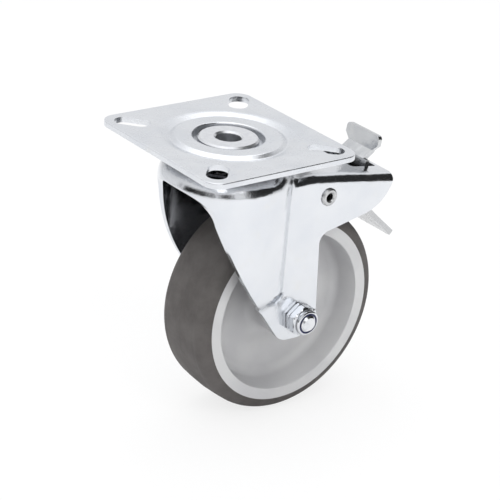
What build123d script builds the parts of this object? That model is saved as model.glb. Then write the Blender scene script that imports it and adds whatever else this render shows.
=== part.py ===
"""Swivel castor: pressed top plate, pressed fork, foot brake and a rubber-tyred wheel.

Millimetres, +Z up. The origin is the middle of the plate's mounting face, so the swivel
axis is the Z axis and everything hangs below it. +X is the trailing side, where the axle
and the brake are. Y runs across the wheel.
"""
import math
import os

from build123d import *

os.makedirs("parts", exist_ok=True)

# ---------------------------------------------------------------- driving dimensions
# Top plate
plate_length = 86.0          # along Y
plate_width = 78.0           # along X
plate_sheet = 2.5
plate_corner_radius = 7.0
plate_edge_round = 0.5
slot_pitch_x = 57.3
slot_pitch_y = 63.1
slot_width = 9.0
slot_length = 16.0
groove_radius = 25.6         # the pressed ring groove, at its lowest
groove_depth = 1.5
groove_outer_slope = 4.2     # how far its outer side runs to the flat plate
groove_inner_slope = 2.2
groove_round = 1.0
groove_shoulder = 5.0        # soft radius where the plate starts to sink
well_radius = 15.9           # the seat round the kingpin's head, at its lip
well_depth = 3.5
well_draft = 0.5
well_lip_round = 0.8
well_heel = 1.2              # how much wider its underside is than its inside

# Swivel head
kingpin_head_radius = 13.4
kingpin_head_top = -0.3
kingpin_head_chamfer = 0.8
kingpin_bore_radius = 5.7
kingpin_body_radius = 10.0
kingpin_neck_radius = 8.5
kingpin_flange_radius = 10.8
kingpin_flange = 2.0
upper_ball_diameter = 5.0
upper_ball_circle = 14.6     # radius
lower_ball_diameter = 4.0
lower_ball_circle = 15.5     # radius
race_depth = 0.55            # how far a ball sinks into its race
race_clearance = 0.08
ball_spacing = 0.45          # least gap between two balls of a ring
cup_sheet = 2.2
cup_radius = 20.0
cup_lip = 2.4
lock_ring_radius = 15.5
lock_ring_sheet = 2.0
lock_teeth = 24
lock_slot_width = 2.4
lock_slot_depth = 3.2

# Fork
fork_sheet = 2.5
hood_radius = 29.5
hood_shoulder = 9.0
crown_hole_radius = 12.5
bulge_length = 61.0          # from the crown's top down to where the hood tucks in
tuck_height = 9.0
tuck_depth = 12.0
tuck_round = 6.0
fork_inner_width = 38.0
web_rise = 11.3              # from the brake's pivot up to the housing's top
web_flat_end = 34.0
web_slope = 9.0              # degrees
housing_reach = 37.8         # behind the brake's pivot
housing_round = 4.5
junction_round = 6.0
axle_offset = 30.3
tread_drop = 34.8            # from the mounting face down to the tread's top
boss_radius = 10.6
leg_rear_reach = 8.6         # from the axle to the leg's rear edge
arch_top = 16.4              # below the mounting face, at the very front
tab_hole_front = 21.2        # behind the brake's pivot
tab_hole_rear = 35.8
tab_hole_half_width = 10.8
tab_hole_round = 1.5
tab_hole_depth = 15.0        # below the housing's top, through the bend of the sheet
# the blank's trimmed side: places in the XZ plane, then from the axle, then from the pivot
hood_edge_middle = (-24.0, -21.2)
hood_edge_end = (-18.6, -31.5)
leg_front_middle = (-9.6, -53.0)
leg_front_end = (-30.0, 15.5)
tuck_edge_end = (-20.5, 5.7)
foot_front_end = (-12.2, -6.0)
toe_middle = (-9.6, -8.8)
toe_end = (-5.8, -10.3)
window_drop = 22.1           # from the pivot down to where the leg's rear edge turns back
window_turn = (1.6, 3.6)
window_end = (2.2, -16.8)
under_end = (20.7, -12.8)
nose_middle = (32.8, -6.8)
nose_top = 1.9

# Wheel
wheel_diameter = 100.0
wheel_width = 32.6
tyre_height = 6.4            # from the rim's face ring to the tread
tyre_side_land = 0.4         # flat of the tyre's side between the shoulder and the rim
tread_crown = 0.5
rim_ring = 5.2
tyre_seat_step = 2.8
tyre_seat_width = 23.0
web_thickness = 5.0
dish_wall_draft = 1.6
dish_round = 4.0
hub_radius = 12.5
hub_round = 4.0
rim_edge_round = 0.5
hub_clearance = 0.3

# Roller bearing and axle
axle_tube_radius = 6.0
axle_bolt_radius = 4.0
bolt_clearance = 0.2
roller_diameter = 3.0
roller_length = 25.0
roller_count = 10
bearing_clearance = 0.06
cage_wall = 1.6
cage_end = 2.5
washer_thickness = 1.6
washer_radius = 11.0
hex_across_flats = 13.0
hex_face_inset = 0.3         # round end face of a hexagon, inside its flats
bolt_head_height = 5.3
bolt_head_bevel = 1.0
nut_height = 8.0
nut_hex_height = 6.0
nut_base_bevel = 0.6
nut_top_bevel = 0.8
nut_collar_radius = 5.9
nut_lip = 0.7
insert_cover = 0.4           # how far the lip reaches in over the insert
insert_height = 1.9
insert_wall = 1.2
bolt_stand_out = 1.1
bolt_end_chamfer = 0.9

# Brake
pivot_reach = 11.5           # behind the axle
pivot_gap = 7.56             # from the tread to the pivot
rivet_radius = 3.0
rivet_bore_radius = 1.8
rivet_head_radius = 4.1
rivet_head = 1.2
rivet_clearance = 0.07
spacer_wall = 2.0
side_play = 0.2
lever_sheet = 2.5
lever_half_width = 13.0
lever_eye_radius = 6.0
eye_front = 1.0              # flats over and under the lever's eye
eye_rear = 3.0
eye_top_fall = 0.6
eye_under_rise = 0.8
cheek_rear_top = (60.0, -29.2)
pedal_slope = 41.8           # degrees below the horizontal
pedal_root_reach = 24.2      # behind and below the pivot, on the pedal's underside
pedal_root_drop = 10.8
pedal_length = 33.0
pedal_gusset = 18.0          # how far the cheeks run along the pedal
pedal_gusset_bevel = 3.0
pedal_corner = 3.0
brake_travel = 7.0           # degrees the lever turns from released to locked
shoe_gap = 0.25              # left between the shoe and the tread when locked
shoe_front_reach = 5.7       # behind the pivot
shoe_length = 13.5
shoe_drop = 1.6              # its top, below the pivot
shoe_height = 12.0           # before its face is cut to the tread
front_bar_reach = 6.5        # from the pivot forward to the bar
front_bar_length = 8.8
lock_leaf = 1.0
lock_leaf_half_width = 6.5
lock_leaf_front = 12.4
prong_width = 1.4
prong_depth = 2.0            # along the swivel's radius
prong_count = 3
prong_setback = 0.7          # from the bottom of a lock slot to the prong
lock_margin = 0.4            # left above a locked prong and a locked leaf
leaf_rivet_radius = 1.5
leaf_rivet_head_radius = 2.6
leaf_rivet_head = 0.9
leaf_rivet_pitch = 8.0
tab_sheet = 2.0
tab_top_place = (35.6, 18.8)     # each from the pivot, behind and up
tab_fold_place = (34.5, 11.4)
tab_step_place = (29.8, 8.2)
tab_root_place = (27.8, 0.4)
tab_arm_end_radius = 2.5
tab_half_width = 11.2
tab_neck_half_width = 8.2
tab_corner = 2.0
tab_root_sink = 1.0          # how far the web's foot runs below its root
tab_shoulder_land = 0.2

# Drawing aids
clear_cut = 1.0              # how far a cut runs past what it cuts
wide_cut = 200.0             # larger than the whole castor
near = 0.01                  # two places closer than this are the same

# ---------------------------------------------------------------- worked-out levels
plate_under = -plate_sheet
well_floor = -well_depth
well_under = well_floor - plate_sheet
upper_ball_z = well_under + race_depth - upper_ball_diameter / 2
crown_top = upper_ball_z - upper_ball_diameter / 2 + race_depth
crown_under = crown_top - fork_sheet
lower_ball_z = crown_under + race_depth - lower_ball_diameter / 2
cup_top = lower_ball_z - lower_ball_diameter / 2 + race_depth
cup_under = cup_top - cup_sheet
lock_ring_under = cup_under - lock_ring_sheet
kingpin_bottom = lock_ring_under - kingpin_flange

leg_inner = fork_inner_width / 2
leg_outer = leg_inner + fork_sheet
wheel_radius = wheel_diameter / 2
wheel_side = wheel_width / 2
axle_z = -tread_drop - wheel_radius
rim_outer_radius = wheel_radius - tyre_height
rim_inner_radius = rim_outer_radius - rim_ring
tyre_seat_radius = rim_outer_radius - tyre_seat_step
tread_shoulder = tyre_height - tyre_side_land
pivot_x = axle_offset + pivot_reach
pivot_z = axle_z + math.sqrt((wheel_radius + pivot_gap) ** 2 - pivot_reach**2)
web_top = pivot_z + web_rise
tuck_top = crown_top - bulge_length
hub_face = leg_inner - washer_thickness - hub_clearance
roller_circle = axle_tube_radius + bearing_clearance + roller_diameter / 2
hub_bore_radius = roller_circle + roller_diameter / 2 + bearing_clearance
front_section = Plane(origin=(0, 0, 0), x_dir=(-1, 0, 0), z_dir=(0, 1, 0))
axle_centre = (axle_offset, 0, axle_z)
axle_axis = Axis(axle_centre, (0, 1, 0))
axle_section = Plane(origin=axle_centre, x_dir=(1, 0, 0), z_dir=(0, 0, 1))


def xz_plane_at(y):
    """The XZ plane whose sketch axes are world X and Z, moved to the given Y."""
    return Plane(origin=(0, y, 0), x_dir=(1, 0, 0), z_dir=(0, -1, 0))


def from_pivot(x, z):
    """A point of the XZ plane given from the brake's pivot."""
    return (pivot_x + x, pivot_z + z)


def from_axle(x, z):
    """A point of the XZ plane given from the axle."""
    return (axle_offset + x, axle_z + z)


def turned(point, degrees):
    """A point of the XZ plane turned about the brake's pivot, +X towards +Z."""
    c, s = math.cos(math.radians(degrees)), math.sin(math.radians(degrees))
    x, z = point[0] - pivot_x, point[1] - pivot_z
    return (pivot_x + x * c - z * s, pivot_z + x * s + z * c)


housing_end = from_pivot(housing_reach, 0)[0]
pedal_root = from_pivot(pedal_root_reach, -pedal_root_drop)
tab_top = from_pivot(*tab_top_place)
tab_fold = from_pivot(*tab_fold_place)
tab_step = from_pivot(*tab_step_place)
tab_root = from_pivot(*tab_root_place)
shoe_front = pivot_x + shoe_front_reach
front_bar_rear = pivot_x - front_bar_reach
front_bar_front = front_bar_rear - front_bar_length


def save(builder, name):
    """Label a finished piece and write it as a STEP file."""
    builder.part.label = name
    export_step(builder.part, f"parts/{name}.step")


def ball_count(circle, diameter):
    """How many balls fill a ring."""
    return int(2 * math.pi * circle / (diameter + ball_spacing))


# ---------------------------------------------------------------- top plate
with BuildPart() as top_plate:
    with BuildSketch(Plane.XY.offset(plate_under)):
        RectangleRounded(plate_width, plate_length, plate_corner_radius)
        Circle(kingpin_body_radius, mode=Mode.SUBTRACT)
    extrude(amount=plate_sheet)
    fillet(top_plate.faces().sort_by(Axis.Z)[-1].outer_wire().edges(), plate_edge_round)
    # the pressed groove and well: what their outside adds, then what their inside takes away
    with BuildSketch(Plane.XZ):
        with BuildLine():
            Polyline(
                (kingpin_body_radius, plate_under / 2),
                (kingpin_body_radius, well_under),
                (well_radius + well_heel, well_under),
                (well_radius + well_heel + well_draft + plate_sheet / 2, plate_under),
                (groove_radius - groove_inner_slope - plate_sheet / 2, plate_under),
                (groove_radius - groove_round / 2, plate_under - groove_depth),
                (groove_radius + groove_round / 2, plate_under - groove_depth),
                (groove_radius + groove_outer_slope, plate_under),
                (groove_radius + groove_outer_slope, plate_under / 2),
                close=True,
            )
        make_face()
    revolve(axis=Axis.Z)
    with BuildSketch(Plane.XZ) as well_inside:
        with BuildLine():
            Polyline(
                (kingpin_body_radius, plate_sheet),
                (kingpin_body_radius, well_floor),
                (well_radius - well_draft, well_floor),
                (well_radius, 0),
                (well_radius, plate_sheet),
                close=True,
            )
        make_face()
    revolve(axis=Axis.Z, mode=Mode.SUBTRACT)
    with BuildSketch(Plane.XZ) as groove_inside:
        with BuildLine():
            Polyline(
                (groove_radius - groove_inner_slope, plate_sheet),
                (groove_radius - groove_inner_slope, 0),
                (groove_radius, -groove_depth),
                (groove_radius + groove_outer_slope, 0),
                (groove_radius + groove_outer_slope, plate_sheet),
                close=True,
            )
        make_face()
        fillet(groove_inside.vertices().sort_by(Axis.Y)[0], groove_round)
    revolve(axis=Axis.Z, mode=Mode.SUBTRACT)

    def top_circle(radius):
        """The circles of that radius in the plate's mounting face."""
        return top_plate.edges().filter_by(GeomType.CIRCLE).filter_by(
            lambda e: abs(e.radius - radius) < near and abs(e.center().Z) < near
        )

    fillet(top_circle(groove_radius + groove_outer_slope), groove_shoulder)
    fillet(top_circle(groove_radius - groove_inner_slope), groove_round)
    fillet(top_circle(well_radius), well_lip_round)
    with BuildSketch(Plane.XZ):
        with Locations((upper_ball_circle, upper_ball_z)):
            Circle(upper_ball_diameter / 2 + race_clearance)
    revolve(axis=Axis.Z, mode=Mode.SUBTRACT)
    # the four slots lie along the plate's diagonals
    slot_angle = math.degrees(math.atan2(slot_pitch_y, slot_pitch_x))
    with BuildSketch():
        for side_x in (-1, 1):
            for side_y in (-1, 1):
                with Locations((side_x * slot_pitch_x / 2, side_y * slot_pitch_y / 2)):
                    SlotOverall(slot_length, slot_width, rotation=side_x * side_y * slot_angle)
    extrude(amount=plate_sheet, both=True, mode=Mode.SUBTRACT)
save(top_plate, "top_plate")

# ---------------------------------------------------------------- swivel head
with BuildPart() as kingpin:
    with BuildSketch(Plane.XZ):
        with BuildLine():
            Polyline(
                (kingpin_bore_radius, kingpin_head_top - kingpin_head_chamfer),
                (kingpin_bore_radius + kingpin_head_chamfer, kingpin_head_top),
                (kingpin_head_radius - kingpin_head_chamfer, kingpin_head_top),
                (kingpin_head_radius, kingpin_head_top - kingpin_head_chamfer),
                (kingpin_head_radius, well_floor),
                (kingpin_body_radius, well_floor),
                (kingpin_body_radius, cup_top),
                (kingpin_neck_radius, cup_top),
                (kingpin_neck_radius, lock_ring_under),
                (kingpin_flange_radius, lock_ring_under),
                (kingpin_flange_radius - kingpin_flange / 2, kingpin_bottom),
                (kingpin_bore_radius, kingpin_bottom),
                close=True,
            )
        make_face()
    revolve(axis=Axis.Z)
save(kingpin, "kingpin")

with BuildPart() as lower_ball_cup:
    with BuildSketch(Plane.XZ):
        with BuildLine():
            Polyline(
                (kingpin_neck_radius, cup_under),
                (cup_radius - cup_lip, cup_under),
                (cup_radius, cup_top),
                (cup_radius, cup_top + cup_lip - race_depth),
                (cup_radius - cup_sheet, cup_top + cup_lip - race_depth),
                (cup_radius - cup_sheet, cup_top),
                (kingpin_neck_radius, cup_top),
                close=True,
            )
        make_face()
        with Locations((lower_ball_circle, lower_ball_z)):
            Circle(lower_ball_diameter / 2 + race_clearance, mode=Mode.SUBTRACT)
    revolve(axis=Axis.Z)
save(lower_ball_cup, "lower_ball_cup")

with BuildPart() as swivel_lock_ring:
    with BuildSketch(Plane.XY.offset(lock_ring_under)):
        Circle(lock_ring_radius)
        Circle(kingpin_neck_radius, mode=Mode.SUBTRACT)
        with PolarLocations(lock_ring_radius, lock_teeth):
            Rectangle(2 * lock_slot_depth, lock_slot_width, mode=Mode.SUBTRACT)
    extrude(amount=lock_ring_sheet)
save(swivel_lock_ring, "swivel_lock_ring")

with BuildPart() as upper_balls:
    with Locations((0, 0, upper_ball_z)):
        with PolarLocations(upper_ball_circle, ball_count(upper_ball_circle, upper_ball_diameter)):
            Sphere(upper_ball_diameter / 2)
save(upper_balls, "upper_balls")

with BuildPart() as lower_balls:
    with Locations((0, 0, lower_ball_z)):
        with PolarLocations(lower_ball_circle, ball_count(lower_ball_circle, lower_ball_diameter)):
            Sphere(lower_ball_diameter / 2)
save(lower_balls, "lower_balls")


# ---------------------------------------------------------------- fork
def fork_form(inset):
    """The fork's outer form, or the hollow inside it when inset by the sheet."""
    hood = hood_radius - inset
    top = crown_top - inset
    shoulder = hood_shoulder - inset
    half = leg_outer - inset
    web = web_top - inset
    web_end_x = housing_end + fork_sheet
    web_end_z = web - (web_end_x - web_flat_end) * math.tan(math.radians(web_slope))
    floor = axle_z - boss_radius - fork_sheet
    with BuildPart() as hood_form:
        with BuildSketch(front_section) as hood_section:
            with BuildLine():
                shoulder_arc = RadiusArc(
                    (hood - shoulder, top), (hood, top - shoulder), shoulder
                )
                Polyline(
                    shoulder_arc @ 1,
                    (hood, tuck_top),
                    (hood - tuck_depth, tuck_top - tuck_height),
                    (0, tuck_top - tuck_height),
                    (0, top),
                    shoulder_arc @ 0,
                )
            make_face()
            tuck_corner = hood_section.vertices().filter_by(
                lambda v: abs(v.X - hood) < near and abs(v.Y - tuck_top) < near
            )
            fillet(tuck_corner, tuck_round - inset)
        revolve(axis=Axis.Z)
    with BuildPart() as channel_form:
        with BuildSketch(xz_plane_at(0)):
            with BuildLine():
                Polyline(
                    (0, web),
                    (web_flat_end, web),
                    (web_end_x, web_end_z),
                    (web_end_x, floor),
                    (0, floor),
                    close=True,
                )
            make_face()
        extrude(amount=half, both=True)
        long_edges = channel_form.edges().filter_by(
            lambda e: abs(abs(e.center().Y) - half) < near
            and e.center().Z > web_end_z - near
            and near < e.center().X < web_end_x - near
        )
        fillet(long_edges, housing_round - inset)
    with BuildPart() as form:
        add(hood_form.part)
        add(channel_form.part)
        meeting_x = math.sqrt(hood**2 - half**2)
        junction = form.edges().filter_by(
            lambda e: (e.geom_type == GeomType.LINE and abs(e.center().X - meeting_x) < 20 * near
                       and e.length > tuck_height)
            or e.geom_type == GeomType.BSPLINE
            or (e.geom_type == GeomType.CIRCLE and abs(e.center().Z - web) < near)
        )
        fillet(junction, junction_round if inset == 0 else housing_round)
    return form.part


with BuildPart() as fork:
    add(fork_form(0))
    add(fork_form(fork_sheet), mode=Mode.SUBTRACT)
    # the side view that the blank is trimmed to
    with BuildSketch(xz_plane_at(0)) as side_view:
        with BuildLine():
            hood_edge = ThreePointArc(
                (-hood_radius - 2 * clear_cut, -arch_top), hood_edge_middle, hood_edge_end
            )
            leg_front = ThreePointArc(hood_edge @ 1, leg_front_middle, from_axle(*leg_front_end))
            tuck_edge = Line(leg_front @ 1, from_axle(*tuck_edge_end))
            foot_front = Line(tuck_edge @ 1, from_axle(*foot_front_end))
            toe = ThreePointArc(foot_front @ 1, from_axle(*toe_middle), from_axle(*toe_end))
            sole = Line(toe @ 1, from_axle(0, -boss_radius))
            heel = ThreePointArc(
                sole @ 1,
                from_axle(boss_radius * math.sqrt(0.5), -boss_radius * math.sqrt(0.5)),
                from_axle(boss_radius, 0),
            )
            window_start = (axle_offset + leg_rear_reach, pivot_z - window_drop)
            leg_rear = Line(heel @ 1, window_start)
            window = ThreePointArc(
                leg_rear @ 1,
                (window_start[0] + window_turn[0], window_start[1] + window_turn[1]),
                from_pivot(*window_end),
            )
            under = Line(window @ 1, from_pivot(*under_end))
            nose = ThreePointArc(
                under @ 1, from_pivot(*nose_middle), from_pivot(housing_reach, nose_top)
            )
            Polyline(
                nose @ 1,
                (housing_end, 0),
                (-hood_radius - 2 * clear_cut, 0),
                hood_edge @ 0,
            )
        make_face()
    extrude(amount=hood_radius + clear_cut, both=True, mode=Mode.INTERSECT)
    with BuildSketch(Plane.XY.offset(crown_under - clear_cut)):
        Circle(crown_hole_radius)
    extrude(amount=fork_sheet + 2 * clear_cut, mode=Mode.SUBTRACT)
    with BuildSketch(Plane.XZ):
        with Locations((upper_ball_circle, upper_ball_z)):
            Circle(upper_ball_diameter / 2 + race_clearance)
        with Locations((lower_ball_circle, lower_ball_z)):
            Circle(lower_ball_diameter / 2 + race_clearance)
    revolve(axis=Axis.Z, mode=Mode.SUBTRACT)
    # holes for the axle bolt and the brake's rivet
    with BuildSketch(xz_plane_at(0)):
        with Locations((axle_offset, axle_z)):
            Circle(axle_bolt_radius + bolt_clearance)
        with Locations((pivot_x, pivot_z)):
            Circle(rivet_radius + rivet_clearance)
    extrude(amount=leg_outer + clear_cut, both=True, mode=Mode.SUBTRACT)
    # the hole that the release tab comes up through
    with BuildSketch(Plane.XY.offset(web_top - tab_hole_depth)):
        with Locations((pivot_x + (tab_hole_front + tab_hole_rear) / 2, 0)):
            RectangleRounded(
                tab_hole_rear - tab_hole_front, 2 * tab_hole_half_width, tab_hole_round
            )
    extrude(amount=tab_hole_depth + clear_cut, mode=Mode.SUBTRACT)
save(fork, "fork")


# ---------------------------------------------------------------- wheel
# Sections are drawn with the radius across and the wheel's width upwards.
with BuildPart() as tyre:
    with BuildSketch(axle_section):
        with BuildLine():
            tread = ThreePointArc(
                (wheel_radius - tread_crown, -wheel_side + tread_shoulder),
                (wheel_radius, 0),
                (wheel_radius - tread_crown, wheel_side - tread_shoulder),
            )
            TangentArc(tread @ 1, (wheel_radius - tread_shoulder, wheel_side), tangent=tread % 1)
            Polyline(
                (wheel_radius - tread_shoulder, wheel_side),
                (rim_outer_radius, wheel_side),
                (rim_outer_radius, tyre_seat_width / 2),
                (tyre_seat_radius, tyre_seat_width / 2),
                (tyre_seat_radius, -tyre_seat_width / 2),
                (rim_outer_radius, -tyre_seat_width / 2),
                (rim_outer_radius, -wheel_side),
                (wheel_radius - tread_shoulder, -wheel_side),
            )
            TangentArc(
                tread @ 0, (wheel_radius - tread_shoulder, -wheel_side), tangent=-(tread % 0)
            )
        make_face()
    revolve(axis=axle_axis)
save(tyre, "tyre")

with BuildPart() as rim:
    with BuildSketch(axle_section) as rim_section:
        with BuildLine() as rim_half:
            Polyline(
                (hub_bore_radius, 0),
                (hub_bore_radius, hub_face),
                (hub_radius, hub_face),
                (hub_radius, web_thickness / 2),
                (rim_inner_radius - dish_wall_draft, web_thickness / 2),
                (rim_inner_radius, wheel_side),
                (rim_outer_radius, wheel_side),
                (rim_outer_radius, tyre_seat_width / 2),
                (tyre_seat_radius, tyre_seat_width / 2),
                (tyre_seat_radius, 0),
                close=True,
            )
        make_face()
        dish_root = rim_section.vertices().filter_by(
            lambda v: abs(v.Y - web_thickness / 2) < near and v.X > hub_radius + 1
        )
        fillet(dish_root, dish_round)
        hub_root = rim_section.vertices().filter_by(
            lambda v: abs(v.Y - web_thickness / 2) < near and v.X < hub_radius + 1
        )
        fillet(hub_root, hub_round)
        face_edge = rim_section.vertices().filter_by(
            lambda v: abs(v.Y - wheel_side) < near and v.X < rim_inner_radius + 1
        )
        fillet(face_edge, rim_edge_round)
        mirror(about=Plane.XZ)
    revolve(axis=axle_axis)
save(rim, "rim")

# ---------------------------------------------------------------- roller bearing
with BuildPart() as bearing_rollers:
    with BuildSketch(xz_plane_at(roller_length / 2)):
        with Locations((axle_offset, axle_z)):
            with PolarLocations(roller_circle, roller_count):
                Circle(roller_diameter / 2)
    extrude(amount=roller_length)
save(bearing_rollers, "bearing_rollers")

with BuildPart() as roller_cage:
    with BuildSketch(xz_plane_at(roller_length / 2 + cage_end)):
        with Locations((axle_offset, axle_z)):
            Circle(roller_circle + cage_wall / 2)
            Circle(roller_circle - cage_wall / 2, mode=Mode.SUBTRACT)
    extrude(amount=roller_length + 2 * cage_end)
    with BuildSketch(xz_plane_at(roller_length / 2 + bearing_clearance)):
        with Locations((axle_offset, axle_z)):
            with PolarLocations(roller_circle, roller_count):
                Circle(roller_diameter / 2 + bearing_clearance)
    extrude(amount=roller_length + 2 * bearing_clearance, mode=Mode.SUBTRACT)
save(roller_cage, "roller_cage")

# ---------------------------------------------------------------- axle
with BuildPart() as axle_tube:
    with BuildSketch(xz_plane_at(leg_inner)):
        with Locations((axle_offset, axle_z)):
            Circle(axle_tube_radius)
            Circle(axle_bolt_radius + bolt_clearance, mode=Mode.SUBTRACT)
    extrude(amount=fork_inner_width)
save(axle_tube, "axle_tube")

with BuildPart() as hub_washers:
    for start in (leg_inner, -leg_inner + washer_thickness):
        with BuildSketch(xz_plane_at(start)):
            with Locations((axle_offset, axle_z)):
                Circle(washer_radius)
                Circle(axle_tube_radius + bearing_clearance, mode=Mode.SUBTRACT)
        extrude(amount=washer_thickness)
save(hub_washers, "hub_washers")

hex_radius = hex_across_flats / 2 / math.cos(math.radians(30))
nut_end = leg_outer + nut_height
bolt_end = nut_end + bolt_stand_out

with BuildPart() as axle_bolt:
    with BuildSketch(xz_plane_at(leg_outer + bolt_head_height)):
        with Locations((axle_offset, axle_z)):
            RegularPolygon(hex_radius, 6)
    extrude(amount=bolt_head_height)
    with BuildSketch(axle_section):
        with BuildLine():
            Polyline(
                (0, leg_outer + bolt_head_height),
                (hex_across_flats / 2 - hex_face_inset, leg_outer + bolt_head_height),
                (hex_radius + bolt_head_bevel, leg_outer + bolt_head_height - bolt_head_bevel),
                (hex_radius + bolt_head_bevel, leg_outer),
                (0, leg_outer),
                close=True,
            )
        make_face()
    revolve(axis=axle_axis, mode=Mode.INTERSECT)
    with BuildSketch(axle_section):
        with BuildLine():
            Polyline(
                (0, leg_outer),
                (axle_bolt_radius, leg_outer),
                (axle_bolt_radius, -bolt_end + bolt_end_chamfer),
                (axle_bolt_radius - bolt_end_chamfer, -bolt_end),
                (0, -bolt_end),
                close=True,
            )
        make_face()
    revolve(axis=axle_axis)
save(axle_bolt, "axle_bolt")

insert_radius = axle_bolt_radius + bearing_clearance + insert_wall
insert_top = nut_end - nut_lip
with BuildPart() as axle_nut:
    with BuildSketch(xz_plane_at(-leg_outer)):
        with Locations((axle_offset, axle_z)):
            RegularPolygon(hex_radius, 6)
    extrude(amount=nut_height)
    with BuildSketch(axle_section):
        with BuildLine():
            Polyline(
                (axle_bolt_radius + bearing_clearance, -leg_outer),
                (hex_across_flats / 2 - hex_face_inset, -leg_outer),
                (hex_radius, -leg_outer - nut_base_bevel),
                (hex_radius, -leg_outer - nut_hex_height + nut_top_bevel),
                (nut_collar_radius, -leg_outer - nut_hex_height),
                (nut_collar_radius, -nut_end + nut_lip),
                (nut_collar_radius - nut_lip, -nut_end),
                (insert_radius - insert_cover, -nut_end),
                (insert_radius - insert_cover, -insert_top),
                (insert_radius, -insert_top),
                (insert_radius, -insert_top + insert_height),
                (axle_bolt_radius + bearing_clearance, -insert_top + insert_height),
                close=True,
            )
        make_face()
    revolve(axis=axle_axis, mode=Mode.INTERSECT)
save(axle_nut, "axle_nut")

with BuildPart() as nut_insert:
    with BuildSketch(xz_plane_at(-insert_top + insert_height)):
        with Locations((axle_offset, axle_z)):
            Circle(insert_radius)
            Circle(axle_bolt_radius + bearing_clearance, mode=Mode.SUBTRACT)
    extrude(amount=insert_height)
save(nut_insert, "nut_insert")

# ---------------------------------------------------------------- brake pivot
with BuildPart() as brake_rivet:
    with BuildSketch(Plane(origin=(pivot_x, 0, pivot_z), x_dir=(1, 0, 0), z_dir=(0, 0, 1))):
        with BuildLine():
            Polyline(
                (rivet_bore_radius, 0),
                (rivet_bore_radius, leg_outer + rivet_head / 2),
                (rivet_bore_radius + rivet_head / 2, leg_outer + rivet_head),
                (rivet_head_radius - rivet_head / 2, leg_outer + rivet_head),
                (rivet_head_radius, leg_outer + rivet_head / 2),
                (rivet_head_radius, leg_outer),
                (rivet_radius, leg_outer),
                (rivet_radius, 0),
                close=True,
            )
        make_face()
        mirror(about=Plane.XZ)
    revolve(axis=Axis((pivot_x, 0, pivot_z), (0, 1, 0)))
save(brake_rivet, "brake_rivet")

with BuildPart() as rivet_spacers:
    spacer_length = leg_inner - lever_half_width - side_play
    for start in (leg_inner, -lever_half_width - side_play):
        with BuildSketch(xz_plane_at(start)):
            with Locations((pivot_x, pivot_z)):
                Circle(rivet_radius + rivet_clearance + spacer_wall)
                Circle(rivet_radius + rivet_clearance, mode=Mode.SUBTRACT)
        extrude(amount=spacer_length)
save(rivet_spacers, "rivet_spacers")


# ---------------------------------------------------------------- brake lever
def climb(x, z):
    """How far a point of the lever rises when the brake is locked."""
    return turned((x, z), -brake_travel)[1] - z


def along_pedal(distance, height=0.0):
    """A point that far down the pedal from its root, and that far above its underside."""
    c, s = math.cos(math.radians(pedal_slope)), math.sin(math.radians(pedal_slope))
    return (
        pedal_root[0] + distance * c + height * s,
        pedal_root[1] - distance * s + height * c,
    )


leaf_top = lock_ring_under - lock_margin - climb(lock_leaf_front, lock_ring_under)
bar_top = leaf_top - lock_leaf
bar_under = bar_top - lever_sheet
prong_front = lock_ring_radius - lock_slot_depth + prong_setback
prong_top = cup_under - lock_margin - climb(prong_front, cup_under)
lever_inner = lever_half_width - lever_sheet
tab_foot = tab_root[1] - tab_root_sink

with BuildPart() as brake_pedal:
    # the two cheeks, cut out between their inner faces
    with BuildSketch(xz_plane_at(lever_half_width)) as cheek:
        with BuildLine():
            Polyline(
                (front_bar_front, bar_under),
                (front_bar_front, bar_top),
                from_pivot(-eye_front, lever_eye_radius),
                from_pivot(eye_rear, lever_eye_radius - eye_top_fall),
                cheek_rear_top,
                along_pedal(pedal_gusset - pedal_gusset_bevel, lever_sheet),
                along_pedal(pedal_gusset, lever_sheet / 2),
                along_pedal(pedal_gusset, 0),
                pedal_root,
                from_pivot(eye_front, -lever_eye_radius),
                from_pivot(-eye_rear, -lever_eye_radius + eye_under_rise),
                close=True,
            )
        make_face()
    extrude(amount=2 * lever_half_width)
    with BuildSketch(xz_plane_at(lever_inner)):
        Rectangle(wide_cut, wide_cut)
    extrude(amount=2 * lever_inner, mode=Mode.SUBTRACT)
    # the pedal and the front bar join the cheeks
    with BuildSketch(xz_plane_at(lever_half_width)):
        with BuildLine():
            Polyline(
                pedal_root,
                along_pedal(pedal_length),
                along_pedal(pedal_length, lever_sheet),
                along_pedal(0, lever_sheet),
                close=True,
            )
        make_face()
        with BuildLine():
            Polyline(
                (front_bar_front, bar_under),
                (front_bar_front, bar_top),
                (front_bar_rear, bar_top),
                (front_bar_rear, bar_under),
                close=True,
            )
        make_face()
    extrude(amount=2 * lever_half_width)
    tip_corners = brake_pedal.edges().filter_by(
        lambda e: e.center().X > along_pedal(pedal_length - lever_sheet / 2)[0]
        and abs(abs(e.center().Y) - lever_half_width) < near
        and e.length < lever_sheet + 10 * near
    )
    fillet(tip_corners, pedal_corner)
    with BuildSketch(xz_plane_at(lever_half_width)):
        with Locations((pivot_x, pivot_z)):
            Circle(rivet_radius + rivet_clearance)
    extrude(amount=2 * lever_half_width, mode=Mode.SUBTRACT)
    with BuildSketch(Plane.XY.offset(bar_under - clear_cut)):
        with Locations(((front_bar_front + front_bar_rear) / 2, 0)):
            with GridLocations(1, leaf_rivet_pitch, 1, 2):
                Circle(leaf_rivet_radius)
    extrude(amount=lever_sheet + 2 * clear_cut, mode=Mode.SUBTRACT)
save(brake_pedal, "brake_pedal")

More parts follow.
